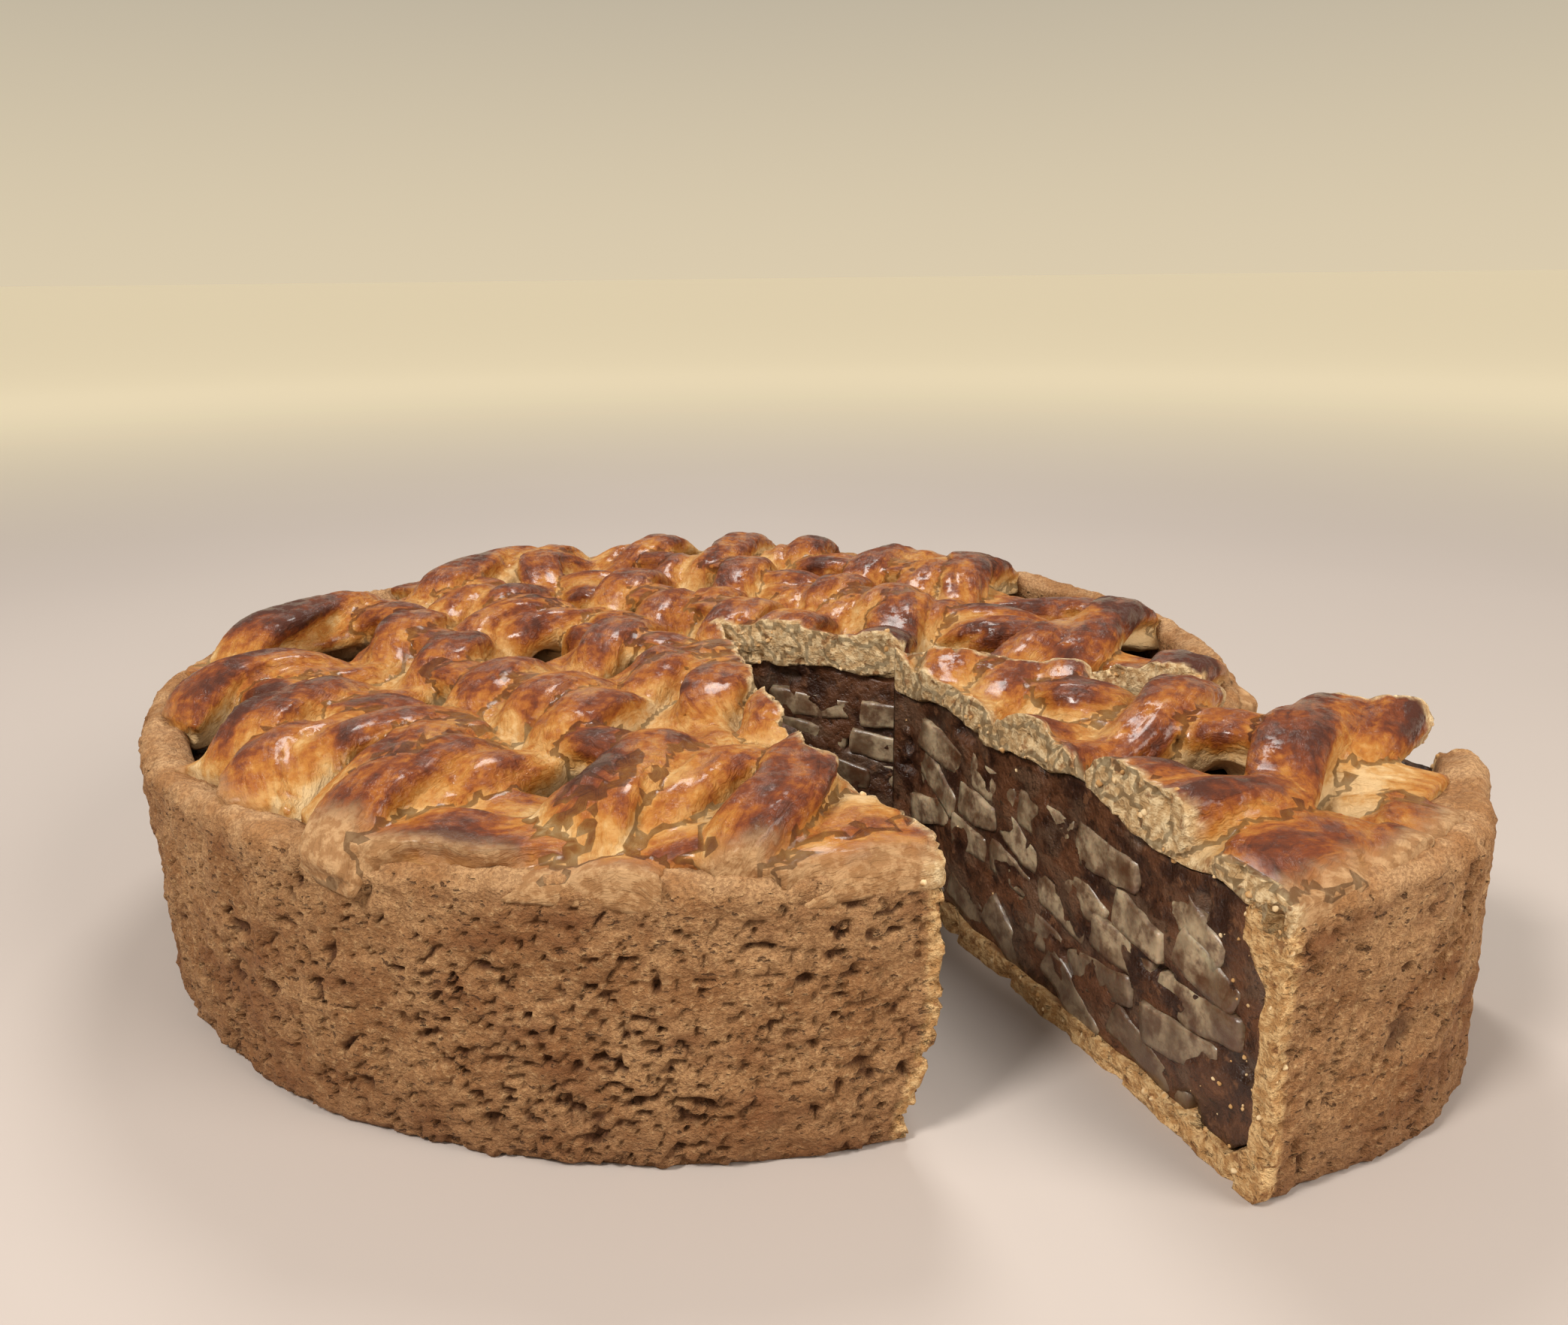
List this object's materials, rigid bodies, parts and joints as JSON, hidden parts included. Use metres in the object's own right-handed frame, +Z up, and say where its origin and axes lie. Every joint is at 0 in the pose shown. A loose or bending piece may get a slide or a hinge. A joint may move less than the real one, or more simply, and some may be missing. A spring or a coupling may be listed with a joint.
{
  "type": "dutch apple pie",
  "caption": "Round apple pie with a thick shortcrust wall and a lattice of glazed twisted dough strips, one slice cut and drawn part of the way out",
  "frame": {"origin": "on the pie's underside, at the centre of its round wall", "axes": "+Z up, -Z into the table it rests on; +Y away from the viewer; the slice is drawn out towards +X and -Y"},
  "size_m": [0.2612, 0.2544, 0.059],
  "materials": {
    "baked_crust": "matte sandy golden-brown shortcrust with small dark pores, crumbly where it is cut",
    "apple_filling": "moist dark cinnamon mass with grey-beige slabs of apple",
    "glazed_lattice": "egg-washed dough, dark brown and glossy on its crests and paler in its creases"
  },
  "bodies": {
    "root": {"pie_crust": "baked_crust", "pie_filling": "apple_filling", "pie_lattice": "glazed_lattice", "slice_crust": "baked_crust", "slice_filling": "apple_filling", "slice_lattice": "glazed_lattice"}
  },
  "joints": []
}
